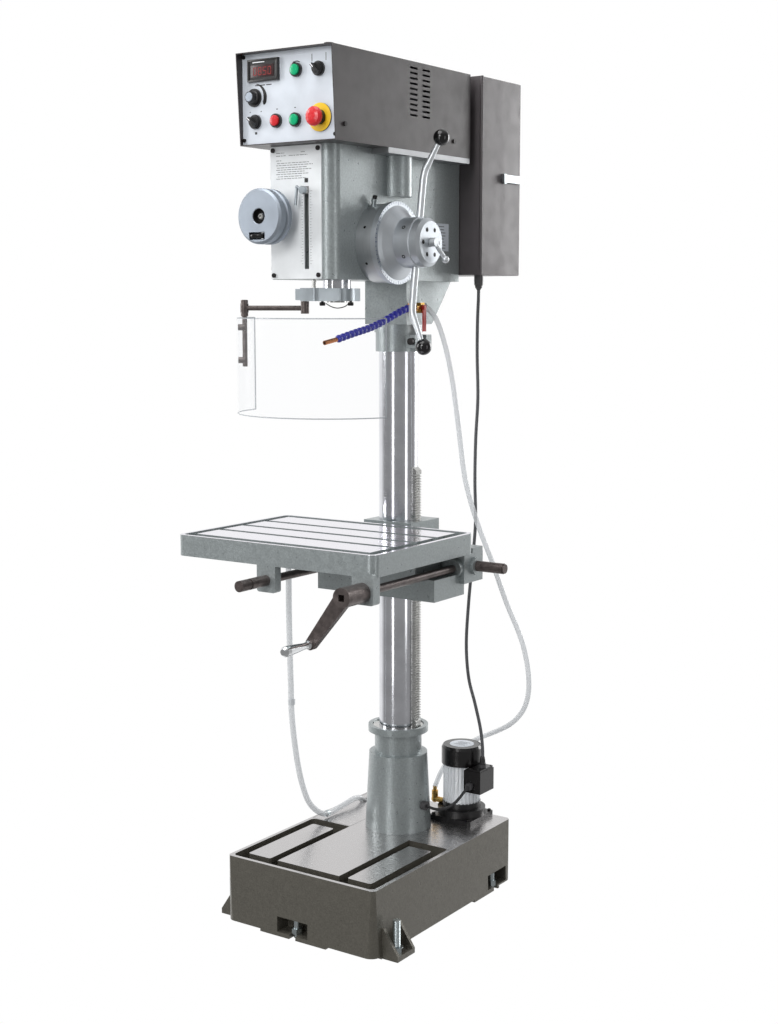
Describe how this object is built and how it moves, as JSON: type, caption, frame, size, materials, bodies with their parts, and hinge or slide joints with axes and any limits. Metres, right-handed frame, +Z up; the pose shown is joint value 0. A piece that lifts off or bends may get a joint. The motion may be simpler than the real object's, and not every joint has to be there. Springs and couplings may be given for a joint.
{
  "type": "drill press",
  "caption": "Floor-standing column drill press with a belt-driven head, a rack-and-pinion T-slot table, a chuck guard and a coolant pump on its cast base.",
  "frame": {"origin": "centre of the base on the floor", "axes": "+Z up along the column, +X to the operator's right, +Y to the back of the machine"},
  "size_m": [0.609, 0.9693, 1.953],
  "materials": {
    "casting": "grey-green hammered paint",
    "cover_paint": "dark textured powder coat",
    "panel_paint": "light grey satin",
    "front_sheet": "satin",
    "ground_steel": "ground",
    "black_steel": "black oxide",
    "satin_aluminium": "turned",
    "bright_steel": "polished",
    "black_gloss": "polished",
    "black_plastic": "moulded",
    "display_window": "tinted",
    "rubber_black": "matt",
    "cable_grey": "matt",
    "hose_clear": "translucent",
    "guard_clear": "clear",
    "brass_part": "machined",
    "copper_part": "machined",
    "blue_plastic": "moulded",
    "red_plastic": "moulded",
    "green_plastic": "moulded",
    "red_paint": "dipped"
  },
  "bodies": {
    "frame": {"base": "casting", "tank_cover": "casting", "levelling_bolts": "bright_steel", "column_foot": "casting", "column": "ground_steel", "head_casting": "casting", "front_plate": "front_sheet", "belt_cover": "cover_paint", "control_panel": "panel_paint", "motor_rails": "ground_steel", "bezels": "black_plastic", "screws": "black_steel", "drive_motor": "casting", "drive_belt": "rubber_black", "cabinet": "cover_paint", "cable_glands": "black_plastic", "brass_fittings": "brass_part", "pump_base": "black_plastic", "pump_motor": "satin_aluminium", "pump_covers": "black_plastic", "power_cable": "cable_grey", "pump_cable": "rubber_black", "coolant_hose": "hose_clear"},
    "rack_carrier": {"rack": "ground_steel"},
    "table_unit": {"table_bracket": "casting", "table": "casting", "drain_hose": "hose_clear"},
    "lift_pinion": {"lift_pinion": "ground_steel"},
    "crank": {"crank": "black_steel"},
    "crank_grip": {"crank_grip": "bright_steel"},
    "clamp_rod": {"clamp_rod": "black_steel"},
    "lock_handle": {"lock_handle": "black_steel"},
    "quill_unit": {"quill": "ground_steel", "quill_collar": "casting", "depth_pointer": "ground_steel"},
    "depth_lever": {"depth_lever": "ground_steel"},
    "spindle": {"spindle": "ground_steel"},
    "spindle_pulley": {"spindle_pulley": "satin_aluminium"},
    "motor_pulley": {"motor_pulley": "satin_aluminium"},
    "guard_arm": {"guard_arm": "black_steel"},
    "guard": {"guard_rod": "black_steel", "guard_shield": "guard_clear"},
    "feed_hub": {"feed_hub": "satin_aluminium", "feed_levers": "bright_steel", "ball_knobs": "black_gloss"},
    "hub_lever": {"hub_lever": "bright_steel"},
    "fine_feed_wheel": {"fine_feed_wheel": "satin_aluminium"},
    "folding_handle": {"folding_handle": "black_gloss"},
    "valve_lever": {"valve_lever": "red_paint"},
    "coolant_arm": {"coolant_arm": "blue_plastic", "coolant_nozzle": "copper_part"},
    "start_button": {"start_button": "green_plastic"},
    "stop_button": {"stop_button": "red_plastic"},
    "run_button": {"run_button": "green_plastic"},
    "estop_button": {"estop_button": "red_plastic"},
    "selector_upper": {"selector_upper": "black_plastic"},
    "selector_lower": {"selector_lower": "black_plastic"},
    "speed_knob": {"speed_knob": "black_plastic"},
    "cabinet_door": {"cabinet_door": "cover_paint"},
    "door_latch": {"door_latch": "bright_steel"}
  },
  "joints": [
    {"name": "table_swing", "type": "hinge", "parent": "frame", "child": "rack_carrier", "pos_m": [0, 0.105, 0.402], "axis": [0, 0, 1], "range_deg": [-30, 15]},
    {"name": "table_lift", "type": "slide", "parent": "rack_carrier", "child": "table_unit", "axis": [0, 0, 1], "range_m": [-0.3, 0.1], "deforming": ["drain_hose"]},
    {"name": "pinion_turn", "type": "hinge", "parent": "table_unit", "child": "lift_pinion", "pos_m": [0.074, 0.105, 0.836], "axis": [0, 1, 0], "continuous": true},
    {"name": "crank_turn", "type": "hinge", "parent": "table_unit", "child": "crank", "pos_m": [0.238, -0.381, 0.836], "axis": [0, 1, 0], "continuous": true},
    {"name": "grip_spin", "type": "hinge", "parent": "crank", "child": "crank_grip", "pos_m": [0.155, -0.5, 0.73], "axis": [0, 1, 0], "continuous": true},
    {"name": "clamp_turn", "type": "hinge", "parent": "table_unit", "child": "clamp_rod", "pos_m": [-0.015, -0.381, 0.836], "axis": [0, 1, 0], "range_deg": [-90, 90]},
    {"name": "lock_turn", "type": "hinge", "parent": "table_unit", "child": "lock_handle", "pos_m": [0.3, 0.023, 0.838], "axis": [1, 0, 0], "range_deg": [-90, 90]},
    {"name": "quill_feed", "type": "slide", "parent": "frame", "child": "quill_unit", "axis": [0, 0, -1], "range_m": [0, 0.13]},
    {"name": "depth_lever_turn", "type": "hinge", "parent": "quill_unit", "child": "depth_lever", "pos_m": [0.0165, -0.283, 1.6615], "axis": [0, 1, 0], "range_deg": [-30, 60]},
    {"name": "spindle_spin", "type": "hinge", "parent": "quill_unit", "child": "spindle", "pos_m": [0, -0.14, 1.429], "axis": [0, 0, 1], "continuous": true},
    {"name": "spindle_pulley_spin", "type": "hinge", "parent": "frame", "child": "spindle_pulley", "pos_m": [0, -0.14, 1.77], "axis": [0, 0, 1], "continuous": true},
    {"name": "motor_pulley_spin", "type": "hinge", "parent": "frame", "child": "motor_pulley", "pos_m": [0, 0.09, 1.77], "axis": [0, 0, 1], "continuous": true},
    {"name": "guard_arm_swing", "type": "hinge", "parent": "quill_unit", "child": "guard_arm", "pos_m": [-0.004, -0.251, 1.425], "axis": [0, 0, 1], "range_deg": [-15, 15]},
    {"name": "guard_swing", "type": "hinge", "parent": "guard_arm", "child": "guard", "pos_m": [-0.155, -0.272, 1.414], "axis": [0, 0, 1], "range_deg": [-100, 0]},
    {"name": "feed_turn", "type": "hinge", "parent": "frame", "child": "feed_hub", "pos_m": [0.188, -0.101, 1.554], "axis": [1, 0, 0], "continuous": true},
    {"name": "hub_lever_turn", "type": "hinge", "parent": "feed_hub", "child": "hub_lever", "pos_m": [0.23, -0.101, 1.554], "axis": [1, 0, 0], "range_deg": [-90, 90]},
    {"name": "fine_feed_turn", "type": "hinge", "parent": "frame", "child": "fine_feed_wheel", "pos_m": [-0.06, -0.3, 1.607], "axis": [0, 1, 0], "continuous": true},
    {"name": "handle_fold", "type": "hinge", "parent": "fine_feed_wheel", "child": "folding_handle", "pos_m": [-0.052, -0.332, 1.566], "axis": [0, 0, -1], "range_deg": [-90, 0]},
    {"name": "valve_turn", "type": "hinge", "parent": "frame", "child": "valve_lever", "pos_m": [0.084, 0.084, 1.414], "axis": [1, 0, 0], "range_deg": [-90, 0]},
    {"name": "coolant_swing", "type": "hinge", "parent": "frame", "child": "coolant_arm", "pos_m": [0.073, 0.0515, 1.414], "axis": [0, 0, 1], "range_deg": [0, 12]},
    {"name": "start_press", "type": "slide", "parent": "frame", "child": "start_button", "axis": [0, 1, 0], "range_m": [0, 0.003], "stiffness_N_per_m": 400},
    {"name": "stop_press", "type": "slide", "parent": "frame", "child": "stop_button", "axis": [0, 1, 0], "range_m": [0, 0.003], "stiffness_N_per_m": 400},
    {"name": "run_press", "type": "slide", "parent": "frame", "child": "run_button", "axis": [0, 1, 0], "range_m": [0, 0.003], "stiffness_N_per_m": 400},
    {"name": "estop_press", "type": "slide", "parent": "frame", "child": "estop_button", "axis": [0, 1, 0], "range_m": [0, 0.004], "stiffness_N_per_m": 400},
    {"name": "selector_upper_turn", "type": "hinge", "parent": "frame", "child": "selector_upper", "pos_m": [0.079, -0.306, 1.903], "axis": [0, 1, 0], "range_deg": [-45, 45]},
    {"name": "selector_lower_turn", "type": "hinge", "parent": "frame", "child": "selector_lower", "pos_m": [-0.089, -0.306, 1.806], "axis": [0, 1, 0], "range_deg": [-45, 45]},
    {"name": "speed_turn", "type": "hinge", "parent": "frame", "child": "speed_knob", "pos_m": [-0.092, -0.306, 1.856], "axis": [0, 1, 0], "range_deg": [-140, 140]},
    {"name": "door_swing", "type": "hinge", "parent": "frame", "child": "cabinet_door", "pos_m": [0.14, 0.2435, 1.719], "axis": [0, 0, 1], "range_deg": [-100, 0]},
    {"name": "latch_turn", "type": "hinge", "parent": "cabinet_door", "child": "door_latch", "pos_m": [0.14, 0.35, 1.72], "axis": [1, 0, 0], "range_deg": [-90, 0]}
  ],
  "couplings": [
    {"joint": "pinion_turn", "follows": "table_lift", "rad_per_m": -55.556},
    {"joint": "crank_turn", "follows": "table_lift", "rad_per_m": 448.8},
    {"joint": "feed_turn", "follows": "quill_feed", "rad_per_m": 83.333},
    {"joint": "spindle_pulley_spin", "follows": "spindle_spin", "ratio": 1},
    {"joint": "motor_pulley_spin", "follows": "spindle_spin", "ratio": 1.5}
  ]
}
